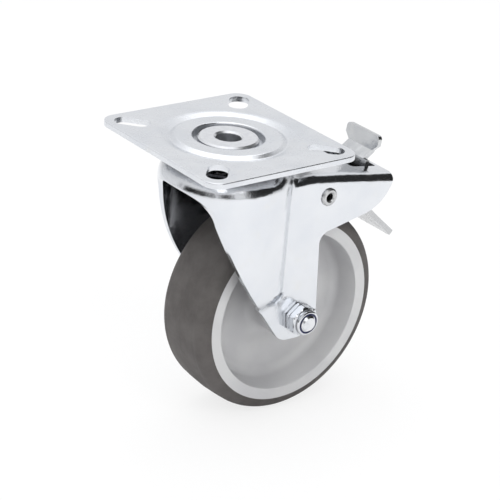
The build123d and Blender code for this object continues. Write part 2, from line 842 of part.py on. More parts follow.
with BuildPart() as release_tab:
    # two cheeks from the rivet to the tab
    with BuildSketch(xz_plane_at(lever_inner)) as tab_arm:
        with Locations((pivot_x, pivot_z)):
            Circle(lever_eye_radius)
        with Locations((tab_root[0] - tab_arm_end_radius, tab_foot)):
            Circle(tab_arm_end_radius)
        make_hull()
        with BuildLine():
            Polyline(
                (tab_root[0] - 2 * tab_arm_end_radius, tab_foot),
                (tab_step[0] - tab_sheet / 2, tab_step[1] - 2 * tab_sheet),
                tab_step,
                (tab_step[0] + tab_sheet, tab_step[1] - tab_sheet),
                (tab_root[0] + tab_sheet, tab_foot),
                close=True,
            )
        make_face()
        with Locations((pivot_x, pivot_z)):
            Circle(rivet_radius + rivet_clearance, mode=Mode.SUBTRACT)
    extrude(amount=2 * lever_inner)
    with BuildSketch(xz_plane_at(lever_inner - tab_sheet)):
        Rectangle(wide_cut, wide_cut)
    extrude(amount=2 * (lever_inner - tab_sheet), mode=Mode.SUBTRACT)
    # the folded strip: a web between the cheeks, a narrower neck, then the wider blade
    for half_width, bends in (
        (lever_inner, (tab_root, tab_step)),
        (tab_neck_half_width, (tab_root, tab_step, tab_fold, tab_top)),
        (tab_half_width, (tab_fold, tab_top)),
    ):
        with BuildSketch(xz_plane_at(half_width)):
            with BuildLine():
                Polyline(*bends)
                offset(amount=tab_sheet, side=Side.RIGHT)
            make_face()
        extrude(amount=2 * half_width)
    blade_shoulders = release_tab.edges().filter_by(
        lambda e: abs(e.center().Z - tab_fold[1]) < tab_sheet / 2
        and abs(abs(e.center().Y) - tab_half_width) < near
        and e.length < tab_sheet + 10 * near
    )
    chamfer(blade_shoulders, tab_half_width - tab_neck_half_width - tab_shoulder_land)
    blade_corners = release_tab.edges().filter_by(
        lambda e: e.center().Z > tab_top[1] - tab_sheet / 2
        and abs(abs(e.center().Y) - tab_half_width) < near
    )
    fillet(blade_corners, tab_corner)
save(release_tab, "release_tab")

with BuildPart() as brake_shoe:
    # its flat face lies along the tread, with a small gap, once the lever is locked
    tread_centre = turned((axle_offset, axle_z), brake_travel)
    shoe_middle = shoe_front + shoe_length / 2
    face_reach = wheel_radius + shoe_gap
    face_angle = math.acos((shoe_middle - tread_centre[0]) / face_reach)
    face_z = tread_centre[1] + face_reach * math.sin(face_angle)
    with BuildSketch(xz_plane_at(lever_inner - tab_sheet)):
        with Locations((shoe_middle, pivot_z - shoe_drop - shoe_height / 2)):
            Rectangle(shoe_length, shoe_height)
        with Locations((shoe_middle, face_z)):
            Rectangle(
                wheel_radius, wheel_diameter, rotation=math.degrees(face_angle),
                align=(Align.MAX, Align.CENTER), mode=Mode.SUBTRACT,
            )
    extrude(amount=2 * (lever_inner - tab_sheet))
save(brake_shoe, "brake_shoe")

with BuildPart() as lock_leaf_spring:
    with BuildSketch(Plane.XY.offset(bar_top)):
        with Locations(((lock_leaf_front + front_bar_rear) / 2, 0)):
            Rectangle(front_bar_rear - lock_leaf_front, 2 * lock_leaf_half_width)
        with Locations(((front_bar_front + front_bar_rear) / 2, 0)):
            with GridLocations(1, leaf_rivet_pitch, 1, 2):
                Circle(leaf_rivet_radius, mode=Mode.SUBTRACT)
    extrude(amount=lock_leaf)
    with BuildSketch(Plane.XY.offset(leaf_top)):
        prong_spread = 360 / lock_teeth * (prong_count - 1)
        with PolarLocations(
            prong_front + prong_depth / 2, prong_count, -prong_spread / 2, prong_spread,
            endpoint=True,
        ):
            Rectangle(prong_depth, prong_width)
    extrude(amount=prong_top - leaf_top)
save(lock_leaf_spring, "lock_leaf_spring")

with BuildPart() as leaf_rivets:
    for top, under, radius in (
        (leaf_top + leaf_rivet_head, leaf_top, leaf_rivet_head_radius),
        (leaf_top, bar_under, leaf_rivet_radius),
        (bar_under, bar_under - leaf_rivet_head, leaf_rivet_head_radius),
    ):
        with BuildSketch(Plane.XY.offset(under)):
            with Locations(((front_bar_front + front_bar_rear) / 2, 0)):
                with GridLocations(1, leaf_rivet_pitch, 1, 2):
                    Circle(radius)
        extrude(amount=top - under)
save(leaf_rivets, "leaf_rivets")
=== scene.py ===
"""Swivel castor with a foot brake: finishes, moulded detail, studio and camera.

Metres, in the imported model's own frame: the origin is the middle of the plate's mounting
face, +Z is up, and +X is the trailing side.
"""

import logging
import math
from dataclasses import dataclass
from enum import Enum
from typing import Optional, Union

import bmesh
import bpy
from mathutils import Matrix, Vector


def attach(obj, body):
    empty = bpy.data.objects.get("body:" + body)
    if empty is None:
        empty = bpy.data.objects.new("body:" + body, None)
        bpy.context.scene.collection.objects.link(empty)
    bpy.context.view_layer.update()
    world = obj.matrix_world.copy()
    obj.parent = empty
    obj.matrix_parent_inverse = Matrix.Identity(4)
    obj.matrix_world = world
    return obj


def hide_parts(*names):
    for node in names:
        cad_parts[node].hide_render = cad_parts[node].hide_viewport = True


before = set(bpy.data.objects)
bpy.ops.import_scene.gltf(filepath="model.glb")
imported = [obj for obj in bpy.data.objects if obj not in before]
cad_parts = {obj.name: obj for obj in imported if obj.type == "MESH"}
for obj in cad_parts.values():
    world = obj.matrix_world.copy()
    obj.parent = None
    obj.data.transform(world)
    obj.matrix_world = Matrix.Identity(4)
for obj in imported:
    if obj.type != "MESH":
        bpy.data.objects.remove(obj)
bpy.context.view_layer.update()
MILLIMETRES = 1000.0
SHARP_TURN = 28.0            # degrees between two faces that read as an edge
CREVICE_SAMPLES = 6
EDGE_SAMPLES = 4
MIDDLE = 0.5                 # the mean of a noise

log = logging.getLogger("castor")

Feed = Union["Wire", float, tuple]
Point = tuple[float, float, float]
Colour = tuple[float, float, float]


# ------------------------------------------------------------------ settings
@dataclass(frozen=True)
class Grain:
    """A soft noise: cells per unit of place, octaves, and how strong the fine ones are."""

    scale: float
    detail: float = 3.0
    rough: float = 0.5


@dataclass(frozen=True)
class Band:
    """Where on a mask a second tone starts and is full, and how much of it then shows."""

    low: float
    high: float
    share: float = 1.0


EDGE_TURN = Band(0.01, 0.12)


# ------------------------------------------------------------------ shader bench
class Wire:
    """One output socket of a node tree, on which sums can be written as Python."""

    def __init__(self, bench: "Bench", node: bpy.types.Node, output: Union[int, str] = 0) -> None:
        """Hold a node's output.

        Args:
            bench: the bench that the node stands on.
            node: the node.
            output: the output's name or place.
        """
        self.bench = bench
        self.node = node
        self.socket = node.outputs[output]

    def out(self, output: Union[int, str]) -> "Wire":
        """Another output of the same node."""
        return Wire(self.bench, self.node, output)

    def _sum(self, operation: str, first: Feed, second: Feed = 0.0) -> "Wire":
        """One Math node.

        Args:
            operation: the Math node's operation.
            first: its first value.
            second: its second value.

        Returns:
            The node's result.
        """
        return self.bench.node("ShaderNodeMath", {"operation": operation}, {0: first, 1: second})

    def __add__(self, other: Feed) -> "Wire":
        """Self + other."""
        return self._sum("ADD", self, other)

    def __radd__(self, other: Feed) -> "Wire":
        """Other + self."""
        return self._sum("ADD", other, self)

    def __sub__(self, other: Feed) -> "Wire":
        """Self - other."""
        return self._sum("SUBTRACT", self, other)

    def __rsub__(self, other: Feed) -> "Wire":
        """Other - self."""
        return self._sum("SUBTRACT", other, self)

    def __mul__(self, other: Feed) -> "Wire":
        """Self * other."""
        return self._sum("MULTIPLY", self, other)

    def __rmul__(self, other: Feed) -> "Wire":
        """Other * self."""
        return self._sum("MULTIPLY", other, self)

    def sine(self) -> "Wire":
        """Sine of the value, taken in radians."""
        return self._sum("SINE", self)

    def greater(self, other: Feed) -> "Wire":
        """The larger of two values."""
        return self._sum("MAXIMUM", self, other)

    def band(self, band: Band) -> "Wire":
        """A smooth step over a band of this mask.

        Args:
            band: the values that give nothing and all, and the share at the top.

        Returns:
            The step, from 0 to the band's share.
        """
        step = self.bench.node(
            "ShaderNodeMapRange",
            {"interpolation_type": "SMOOTHSTEP", "clamp": True},
            {"Value": self, "From Min": band.low, "From Max": band.high,
             "To Min": 0.0, "To Max": 1.0},
        )
        return step * band.share


class Bench:
    """A node tree with short ways to add nodes."""

    def __init__(self, tree: bpy.types.NodeTree) -> None:
        """Clear a node tree and work on it."""
        self.tree = tree
        self.tree.nodes.clear()

    def _feed(self, socket: bpy.types.NodeSocket, value: Feed) -> None:
        """Link a wire to an input, or set its value."""
        if isinstance(value, Wire):
            self.tree.links.new(value.socket, socket)
        elif isinstance(value, tuple) and len(value) == 3 and socket.type == "RGBA":
            socket.default_value = (*value, 1.0)
        else:
            socket.default_value = value

    def node(self, kind: str, settings: dict, sockets: dict) -> Wire:
        """Add one node.

        Args:
            kind: the node's type.
            settings: its properties, set before the sockets.
            sockets: values or wires for its inputs, by name or place.

        Returns:
            Its first output.
        """
        made = self.tree.nodes.new(kind)
        for key, value in settings.items():
            setattr(made, key, value)
        for key, value in sockets.items():
            self._feed(made.inputs[key], value)
        return Wire(self, made)

    def vector(self, operation: str, first: Feed, second: Optional[Feed] = None) -> Wire:
        """One Vector Math node.

        Args:
            operation: what it does.
            first: its first vector.
            second: its second vector, if it takes one.

        Returns:
            The resulting vector.
        """
        sockets = {0: first} if second is None else {0: first, 1: second}
        return self.node("ShaderNodeVectorMath", {"operation": operation}, sockets)

    def dot(self, first: Feed, second: Feed) -> Wire:
        """Dot product of two vectors."""
        return self.vector("DOT_PRODUCT", first, second).out("Value")

    def place(self) -> Wire:
        """Where a point is on its own piece, in millimetres."""
        spot = self.node("ShaderNodeTexCoord", {}, {}).out("Object")
        return self.node(
            "ShaderNodeVectorMath", {"operation": "SCALE"}, {0: spot, "Scale": MILLIMETRES}
        )

    def stretched(self, spot: Wire, scale: Point, turn: float = 0.0) -> Wire:
        """A place stretched along the axes and turned about Z.

        Args:
            spot: the place.
            scale: factors along X, Y and Z.
            turn: degrees about Z.

        Returns:
            The new place.
        """
        return self.node(
            "ShaderNodeMapping", {"vector_type": "POINT"},
            {"Vector": spot, "Rotation": (0.0, 0.0, math.radians(turn)), "Scale": scale},
        )

    def noise(self, spot: Wire, grain: Grain) -> Wire:
        """Soft noise from 0 to 1.

        Args:
            spot: where it is read.
            grain: how coarse and how rough it is.

        Returns:
            The noise.
        """
        return self.node(
            "ShaderNodeTexNoise", {},
            {"Vector": spot, "Scale": grain.scale, "Detail": grain.detail,
             "Roughness": grain.rough},
        )

    def mixed(self, factor: Feed, first: Feed, second: Feed) -> Wire:
        """Two colours mixed.

        Args:
            factor: 0 for the first, 1 for the second.
            first: a colour or a wire.
            second: a colour or a wire.

        Returns:
            The mixed colour.
        """
        made = self.node("ShaderNodeMix", {"data_type": "RGBA", "blend_type": "MIX"}, {})
        for key, value in (("Factor_Float", factor), ("A_Color", first), ("B_Color", second)):
            socket = next(s for s in made.node.inputs if s.identifier == key)
            self._feed(socket, value)
        result = next(
            i for i, s in enumerate(made.node.outputs) if s.identifier == "Result_Color"
        )
        return made.out(result)

    def bump(self, height: Feed, distance: float, strength: float = 1.0,
             under: Optional[Wire] = None) -> Wire:
        """A bump.

        Args:
            height: the height, from 0 to 1.
            distance: metres that a height of 1 stands for.
            strength: how much of it shows.
            under: a normal that it is laid over.

        Returns:
            The bumped normal.
        """
        sockets: dict = {"Height": height, "Distance": distance, "Strength": strength}
        if under is not None:
            sockets["Normal"] = under
        return self.node("ShaderNodeBump", {}, sockets)

    def crevice(self, reach: float) -> Wire:
        """0 in the open and near 1 in corners; reach is in metres."""
        shade = self.node(
            "ShaderNodeAmbientOcclusion", {"samples": CREVICE_SAMPLES, "only_local": False},
            {"Distance": reach},
        )
        return 1.0 - shade.out("AO")

    def edge(self, radius: float) -> Wire:
        """Near 1 on sharp edges; radius is in metres."""
        soft = self.node("ShaderNodeBevel", {"samples": EDGE_SAMPLES}, {"Radius": radius})
        hard = self.node("ShaderNodeNewGeometry", {}, {}).out("Normal")
        return (1.0 - self.dot(soft, hard)).band(EDGE_TURN)


class PaintBench(Bench):
    """A material's node tree with its Principled shader and output already wired."""

    def __init__(self, name: str, metallic: float, ior: float = 1.5) -> None:
        """Make an empty material.

        Args:
            name: the material's name.
            metallic: 1 for metal, 0 for the rest.
            ior: index of refraction.
        """
        self.material = bpy.data.materials.new(name)
        self.material.use_nodes = True
        super().__init__(self.material.node_tree)
        self.shader = self.tree.nodes.new("ShaderNodeBsdfPrincipled")
        self.end = self.tree.nodes.new("ShaderNodeOutputMaterial")
        self.tree.links.new(self.shader.outputs[0], self.end.inputs["Surface"])
        self.shader.inputs["Metallic"].default_value = metallic
        self.shader.inputs["IOR"].default_value = ior

    def set(self, name: str, value: Feed) -> None:
        """Feed one of the Principled shader's inputs."""
        self._feed(self.shader.inputs[name], value)

    def finish_with(self, surface: Wire) -> None:
        """Send another shader to the material's output."""
        self.tree.links.new(surface.socket, self.end.inputs["Surface"])


class Axis(Enum):
    """The direction a piece was turned about, as the factors that flatten it away."""

    UP = (1.0, 1.0, 0.0)
    ACROSS = (1.0, 0.0, 1.0)


@dataclass(frozen=True)
class Turning:
    """The centre line of a turned or moulded round piece, in millimetres."""

    centre: Point
    axis: Axis

    def radius(self, bench: Bench, spot: Wire) -> Wire:
        """Distance of a place from the centre line.

        Args:
            bench: where the nodes go.
            spot: the place, in millimetres.

        Returns:
            The distance, in millimetres.
        """
        moved = bench.vector("SUBTRACT", spot, self.centre)
        plane = bench.vector("MULTIPLY", moved, self.axis.value)
        return bench.vector("LENGTH", plane).out("Value")


AXLE = Turning((30.3, 0.0, -84.8), Axis.ACROSS)
SWIVEL = Turning((0.0, 0.0, 0.0), Axis.UP)
RIVET = Turning((41.8, 0.0, -28.4), Axis.ACROSS)


# ------------------------------------------------------------------ finishes
@dataclass(frozen=True)
class BrightZinc:
    """Bright zinc with a thin clear-blue passivation on pressed steel sheet."""

    name: str
    light: Colour = (0.715, 0.73, 0.755)
    deep: Colour = (0.665, 0.685, 0.72)
    warm: Colour = (0.71, 0.705, 0.685)
    # colour of the painted shade in narrow gaps and corners
    crevice_shade: Colour = (0.20, 0.20, 0.21)
    # dark: colour of the painted shade deep inside enclosed hollows such as the fork's hood
    dark: Colour = (0.045, 0.045, 0.05)
    painted_inside_shade: float = 0.0
    roughness: float = 0.13
    grain_turn: float = 0.0
    wave: float = 0.00048
    peel: float = 0.00002
    rolled_height: float = 0.000004
    cloud: Grain = Grain(0.045, 3.0, 0.55)
    patch: Grain = Grain(0.16, 5.0, 0.6)
    speck: Grain = Grain(1.9, 2.0, 0.7)
    rolled: Grain = Grain(1.0, 4.0, 0.65)
    rolled_stretch: Point = (0.5, 7.0, 7.0)
    buckle: Grain = Grain(0.085, 2.0, 0.4)
    peel_grain: Grain = Grain(1.1, 3.0, 0.55)
    crevice_reach: float = 0.004
    inside_reach: float = 0.045
    edge_radius: float = 0.0005
    deep_band: Band = Band(0.35, 0.7)
    warm_band: Band = Band(0.56, 0.78, 0.45)
    speck_band: Band = Band(0.72, 0.86, 0.35)
    crevice_shade_band: Band = Band(0.3, 1.0, 0.3)
    inside_band: Band = Band(0.42, 0.72)
    dull_band: Band = Band(0.4, 0.75, 0.08)
    edge_share: float = 0.6
    rolled_rough: float = 0.08
    crevice_rough: float = 0.12
    edge_polish: float = 0.05
    least_rough: float = 0.08

    def material(self) -> bpy.types.Material:
        """Build the finish."""
        bench = PaintBench(self.name, metallic=1.0)
        spot = bench.place()
        patch = bench.noise(spot, self.patch)
        rolled = bench.noise(
            bench.stretched(spot, self.rolled_stretch, self.grain_turn), self.rolled)
        crevice = bench.crevice(self.crevice_reach)
        painted_inside_shade = bench.crevice(self.inside_reach).band(self.inside_band)
        edge = bench.edge(self.edge_radius)
        cloud = bench.noise(spot, self.cloud)
        speck = bench.noise(spot, self.speck)
        colour = bench.mixed(cloud.band(self.deep_band), self.light, self.deep)
        colour = bench.mixed(patch.band(self.warm_band), colour, self.warm)
        colour = bench.mixed(speck.band(self.speck_band), colour, self.deep)
        # painted shade: the colour darkens towards the crevice-shade tone in narrow gaps and
        # corners, where shade falls
        colour = bench.mixed(crevice.band(self.crevice_shade_band), colour, self.crevice_shade)
        # painted shade: deep, enclosed hollows such as the fork's inside turn dark
        colour = bench.mixed(painted_inside_shade * self.painted_inside_shade, colour, self.dark)
        bench.set("Base Color", bench.mixed(edge * self.edge_share, colour, self.light))
        rough = self.roughness + patch.band(self.dull_band)
        rough = rough + (rolled - MIDDLE) * self.rolled_rough
        rough = rough + crevice * self.crevice_rough - edge * self.edge_polish
        bench.set("Roughness", rough.greater(self.least_rough))
        waves = bench.bump(bench.noise(spot, self.buckle), self.wave)
        peel = bench.bump(bench.noise(spot, self.peel_grain), self.peel, under=waves)
        bench.set("Normal", bench.bump(rolled, self.rolled_height, under=peel))
        return bench.material


@dataclass(frozen=True)
class TurnedZinc:
    """Zinc-plated turned or cold-headed steel, with fine rings from the tool."""

    name: str
    turning: Turning
    light: Colour = (0.74, 0.75, 0.77)
    deep: Colour = (0.66, 0.67, 0.70)
    roughness: float = 0.2
    pitch: float = 0.35
    ring_height: float = 0.000006
    patch_height: float = 0.000008
    patch: Grain = Grain(0.35, 4.0, 0.6)
    ring_wander: float = 3.0
    # colour of the painted shade in narrow gaps and corners
    crevice_shade: Colour = (0.2, 0.2, 0.21)
    crevice_reach: float = 0.003
    edge_radius: float = 0.0003
    deep_band: Band = Band(0.35, 0.7)
    crevice_shade_band: Band = Band(0.45, 1.0, 0.3)
    dull_band: Band = Band(0.3, 0.8, 0.12)
    edge_share: float = 0.7
    ring_rough: float = 0.04

    def material(self) -> bpy.types.Material:
        """Build the finish."""
        bench = PaintBench(self.name, metallic=1.0)
        spot = bench.place()
        radius = self.turning.radius(bench, spot)
        patch = bench.noise(spot, self.patch)
        turns = radius * (2 * math.pi / self.pitch) + patch * self.ring_wander
        rings = turns.sine() * MIDDLE + MIDDLE
        crevice = bench.crevice(self.crevice_reach)
        edge = bench.edge(self.edge_radius)
        colour = bench.mixed(patch.band(self.deep_band), self.light, self.deep)
        # painted shade: the colour darkens towards the crevice-shade tone in narrow gaps and
        # corners, where shade falls
        colour = bench.mixed(crevice.band(self.crevice_shade_band), colour, self.crevice_shade)
        bench.set("Base Color", bench.mixed(edge * self.edge_share, colour, self.light))
        bench.set("Roughness", self.roughness + patch.band(self.dull_band)
                  + rings * self.ring_rough)
        bench.set("Normal", bench.bump(rings, self.ring_height,
                                       under=bench.bump(patch, self.patch_height)))
        return bench.material


@dataclass(frozen=True)
class HardSteel:
    """Ground or tempered steel without plating."""

    name: str
    light: Colour = (0.62, 0.62, 0.63)
    deep: Colour = (0.36, 0.37, 0.40)
    roughness: float = 0.12
    oil: Colour = (0.1, 0.09, 0.08)
    oil_share: float = 0.5
    oil_reach: float = 0.002
    patch: Grain = Grain(0.6, 4.0, 0.6)
    deep_band: Band = Band(0.35, 0.75)
    patch_rough: float = 0.14
    scratch: Grain = Grain(3.0)
    scratch_height: float = 0.000004

    def material(self) -> bpy.types.Material:
        """Build the finish."""
        bench = PaintBench(self.name, metallic=1.0)
        spot = bench.place()
        patch = bench.noise(spot, self.patch)
        colour = bench.mixed(patch.band(self.deep_band), self.light, self.deep)
        oiled = bench.crevice(self.oil_reach) * self.oil_share
        bench.set("Base Color", bench.mixed(oiled, colour, self.oil))
        bench.set("Roughness", self.roughness + patch * self.patch_rough)
        bench.set("Normal", bench.bump(bench.noise(spot, self.scratch), self.scratch_height))
        return bench.material


@dataclass(frozen=True)
class MouldedGrey:
    """Light grey moulded plastic with a fine satin texture and faint flow marks."""

    name: str
    turning: Turning
    light: Colour = (0.62, 0.62, 0.622)
    deep: Colour = (0.56, 0.56, 0.57)
    shade: Colour = (0.25, 0.245, 0.265)
    pale: Colour = (0.62, 0.62, 0.62)
    scuffed: Colour = (0.60, 0.60, 0.60)
    ior: float = 1.49
    roughness: float = 0.42
    ring_pitch: float = 1.4
    ring_height: float = 0.000012
    ring_strength: float = 0.5
    flow_height: float = 0.0001
    satin_height: float = 0.00001
    flow: Grain = Grain(0.05, 3.0, 0.5)
    dust: Grain = Grain(0.4, 5.0, 0.65)
    satin: Grain = Grain(5.0, 2.0, 0.6)
    scuff: Grain = Grain(0.8, 4.0, 0.7)
    scuff_stretch: Point = (0.3, 2.0, 5.0)
    crevice_reach: float = 0.045
    edge_radius: float = 0.0006
    deep_band: Band = Band(0.35, 0.7)
    scuff_band: Band = Band(0.66, 0.8, 0.25)
    shade_band: Band = Band(0.3, 0.9, 0.45)
    dull_band: Band = Band(0.4, 0.8, 0.12)
    edge_share: float = 0.35
    satin_polish: float = 0.06

    def material(self) -> bpy.types.Material:
        """Build the finish."""
        bench = PaintBench(self.name, metallic=0.0, ior=self.ior)
        spot = bench.place()
        radius = self.turning.radius(bench, spot)
        flow = bench.noise(spot, self.flow)
        dust = bench.noise(spot, self.dust)
        satin = bench.noise(spot, self.satin)
        rings = (radius * (2 * math.pi / self.ring_pitch)).sine() * MIDDLE + MIDDLE
        scuff = bench.noise(bench.stretched(spot, self.scuff_stretch), self.scuff)
        crevice = bench.crevice(self.crevice_reach)
        edge = bench.edge(self.edge_radius)
        colour = bench.mixed(flow.band(self.deep_band), self.light, self.deep)
        colour = bench.mixed(scuff.band(self.scuff_band), colour, self.scuffed)
        # painted shade: the web darkens where the fork legs and hub crowd it (ambient occlusion)
        colour = bench.mixed(crevice.band(self.shade_band), colour, self.shade)
        bench.set("Base Color", bench.mixed(edge * self.edge_share, colour, self.pale))
        bench.set("Roughness", self.roughness + dust.band(self.dull_band)
                  - satin * self.satin_polish)
        under = bench.bump(rings, self.ring_height, self.ring_strength)
        under = bench.bump(flow, self.flow_height, under=under)
        bench.set("Normal", bench.bump(satin, self.satin_height, under=under))
        return bench.material


@dataclass(frozen=True)
class TyreRubber:
    """Dark grey rubber, dull, with a moulded bloom and small scuffs."""

    name: str
    dark: Colour = (0.080, 0.073, 0.070)
    bloom: Colour = (0.118, 0.109, 0.105)
    dust: Colour = (0.20, 0.19, 0.18)
    roughness: float = 0.62
    ior: float = 1.52
    sheen: float = 0.3
    cloud: Grain = Grain(0.06, 4.0, 0.6)
    mottle: Grain = Grain(0.5, 5.0, 0.65)
    fine: Grain = Grain(6.0, 3.0, 0.6)
    scuff: Grain = Grain(0.7, 5.0, 0.7)
    scuff_stretch: Point = (0.5, 4.0, 0.5)
    bloom_band: Band = Band(0.3, 0.7)
    mottle_band: Band = Band(0.55, 0.8, 0.3)
    scuff_band: Band = Band(0.66, 0.82, 0.35)
    edge_radius: float = 0.0005
    edge_share: float = 0.4
    mottle_rough: float = 0.16
    cloud_polish: float = 0.08
    mottle_height: float = 0.00008
    fine_height: float = 0.00002

    def material(self) -> bpy.types.Material:
        """Build the finish."""
        bench = PaintBench(self.name, metallic=0.0, ior=self.ior)
        bench.set("Specular IOR Level", self.sheen)
        spot = bench.place()
        cloud = bench.noise(spot, self.cloud)
        mottle = bench.noise(spot, self.mottle)
        fine = bench.noise(spot, self.fine)
        scuff = bench.noise(bench.stretched(spot, self.scuff_stretch), self.scuff)
        edge = bench.edge(self.edge_radius)
        colour = bench.mixed(cloud.band(self.bloom_band), self.dark, self.bloom)
        colour = bench.mixed(mottle.band(self.mottle_band), colour, self.bloom)
        colour = bench.mixed(scuff.band(self.scuff_band), colour, self.dust)
        bench.set("Base Color", bench.mixed(edge * self.edge_share, colour, self.dust))
        bench.set("Roughness", self.roughness + mottle * self.mottle_rough
                  - cloud * self.cloud_polish)
        under = bench.bump(mottle, self.mottle_height)
        bench.set("Normal", bench.bump(fine, self.fine_height, under=under))
        return bench.material


@dataclass(frozen=True)
class MouldedNylon:
    """Small moulded nylon pieces."""

    name: str
    base: Colour
    light: Colour
    roughness: float = 0.38
    ior: float = 1.53
    cloud: Grain = Grain(0.5, 4.0, 0.6)
    light_band: Band = Band(0.4, 0.75)
    cloud_rough: float = 0.12
    satin: Grain = Grain(4.0)
    satin_height: float = 0.00001

    def material(self) -> bpy.types.Material:
        """Build the finish."""
        bench = PaintBench(self.name, metallic=0.0, ior=self.ior)
        spot = bench.place()
        cloud = bench.noise(spot, self.cloud)
        bench.set("Base Color", bench.mixed(cloud.band(self.light_band), self.base, self.light))
        bench.set("Roughness", self.roughness + cloud * self.cloud_rough)
        bench.set("Normal", bench.bump(bench.noise(spot, self.satin), self.satin_height))
        return bench.material


# ------------------------------------------------------------------ forms
def joined_rings(name: str, form: bmesh.types.BMesh,
                 rings: list[list[bmesh.types.BMVert]]) -> bpy.types.Object:
    """Skin closed profiles that stand round an axis, one after another.

    Args:
        name: the piece's name.
        form: the mesh under work.
        rings: the corners of each profile, in the same order.

    Returns:
        The piece.
    """
    for this, after in zip(rings, rings[1:] + rings[:1]):
        for place in range(len(this)):
            following = (place + 1) % len(this)
            form.faces.new((this[place], this[following], after[following], after[place]))
    bmesh.ops.recalc_face_normals(form, faces=form.faces)
    mesh = bpy.data.meshes.new(name)
    form.to_mesh(mesh)
    form.free()
    for face in mesh.polygons:
        face.use_smooth = True
    mesh.set_sharp_from_angle(angle=math.radians(SHARP_TURN))
    piece = bpy.data.objects.new(name, mesh)
    bpy.context.scene.collection.objects.link(piece)
    return piece


def turned_form(name: str, turning: Turning, profile: list[tuple[float, float]],
                steps: int) -> bpy.types.Object:
    """Turn a closed profile about an axis that lies across the castor.

    Args:
        name: the piece's name.
        turning: its centre line.
        profile: radius and place along the axis of each corner, in millimetres.
        steps: how many facets round.

    Returns:
        The piece.
    """
    form = bmesh.new()
    rings = []
    for step in range(steps):
        angle = 2 * math.pi * step / steps
        rings.append([form.verts.new((
            (turning.centre[0] + radius * math.cos(angle)) / MILLIMETRES,
            (turning.centre[1] + along) / MILLIMETRES,
            (turning.centre[2] + radius * math.sin(angle)) / MILLIMETRES,
        )) for radius, along in profile])
    return joined_rings(name, form, rings)


# ------------------------------------------------------------------ sub-assemblies
class SubAssembly:
    """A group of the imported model's nodes that are finished together."""

    def paint(self, node: str, material: bpy.types.Material) -> None:
        """Give a node one finish.

        Args:
            node: the node's name.
            material: the finish.
        """
        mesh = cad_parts[node].data
        mesh.materials.clear()
        mesh.materials.append(material)
        log.info("%s: %s", node, material.name)


@dataclass
class PlateAndSwivel(SubAssembly):
    """Top plate with the swivel head under it."""

    def dress(self) -> None:
        """Finish every node of the group."""
        self.paint("top_plate", BrightZinc(
            "plate_zinc", grain_turn=90.0, roughness=0.27).material())
        self.paint("kingpin", TurnedZinc("kingpin_zinc", SWIVEL, roughness=0.28).material())
        self.paint("lower_ball_cup", BrightZinc("cup_zinc").material())
        self.paint("swivel_lock_ring", BrightZinc("lock_ring_zinc").material())
        ball_steel = HardSteel("ball_steel").material()
        self.paint("upper_balls", ball_steel)
        self.paint("lower_balls", ball_steel)


@dataclass
class Fork(SubAssembly):
    """The pressed fork with its brake rivet and axle, in millimetres."""

    leg_face: float = -21.5
    across_flats: float = 13.0
    nut_turn: float = 7.0
    nut_bore: float = 4.1
    insert_pocket: float = 5.3
    insert_lip: float = 0.4
    lip_depth: float = 7.3
    pocket_floor: float = 5.4
    nut_height: float = 8.0
    nut_steps: int = 144
    nut_lines: tuple[tuple[float, float], ...] = (
        (0.0, 6.3), (0.25, 7.0), (0.6, 7.55), (1.9, 7.55), (2.1, 7.1), (2.2, 6.2), (2.42, 6.2),
        (2.5, 7.1), (2.75, 7.55), (5.0, 7.55), (5.5, 7.1), (6.0, 6.35), (6.15, 5.95), (6.4, 5.9),
        (7.3, 5.9), (7.65, 5.75), (7.9, 5.4), (8.0, 5.1),
    )

    def lock_nut(self) -> bpy.types.Object:
        """The axle's lock nut over its thick hexagon washer, turned as it was tightened.

        Returns:
            The piece.
        """
        form = bmesh.new()
        lip = self.insert_pocket - self.insert_lip
        inner = ((self.nut_height, lip), (self.lip_depth, lip),
                 (self.lip_depth, self.insert_pocket), (self.pocket_floor, self.insert_pocket),
                 (self.pocket_floor, self.nut_bore), (0.0, self.nut_bore))
        half = self.across_flats / 2
        rings = []
        for step in range(self.nut_steps):
            angle = 2 * math.pi * step / self.nut_steps
            sixth = (angle - math.radians(self.nut_turn) + math.pi / 6) % (math.pi / 3)
            flat = half / math.cos(sixth - math.pi / 6)
            sides = [(along, min(flat, cone)) for along, cone in self.nut_lines]
            rings.append([form.verts.new((
                (AXLE.centre[0] + radius * math.cos(angle)) / MILLIMETRES,
                (self.leg_face - along) / MILLIMETRES,
                (AXLE.centre[2] + radius * math.sin(angle)) / MILLIMETRES,
            )) for along, radius in (*sides, *inner)])
        piece = joined_rings("lock_nut", form, rings)
        piece.data.materials.append(BrightZinc(
            "nut_zinc", roughness=0.16, wave=0.00008).material())
        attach(piece, "fork_group")
        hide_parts("axle_nut")
        log.info("lock_nut: %d facets", len(piece.data.polygons))
        return piece

    def dress(self) -> None:
        """Finish every node of the group."""
        self.lock_nut()
        # the fork takes the full painted shade inside its hood
        self.paint("fork", BrightZinc(
            "fork_zinc", grain_turn=20.0, wave=0.00064, peel=0.000045, painted_inside_shade=1.0).material())
        self.paint("brake_rivet", TurnedZinc(
            "rivet_zinc", RIVET, light=(0.56, 0.565, 0.57), deep=(0.42, 0.425, 0.43),
            roughness=0.27).material())
        self.paint("rivet_spacers", TurnedZinc("spacer_zinc", RIVET).material())
        self.paint("axle_bolt", TurnedZinc("bolt_zinc", AXLE, roughness=0.16).material())
        self.paint("nut_insert", MouldedNylon(
            "insert_nylon", (0.035, 0.04, 0.12), (0.06, 0.07, 0.18)).material())
        self.paint("axle_tube", HardSteel("tube_steel").material())
        self.paint("hub_washers", MouldedNylon(
            "washer_nylon", (0.30, 0.30, 0.30), (0.36, 0.36, 0.36)).material())


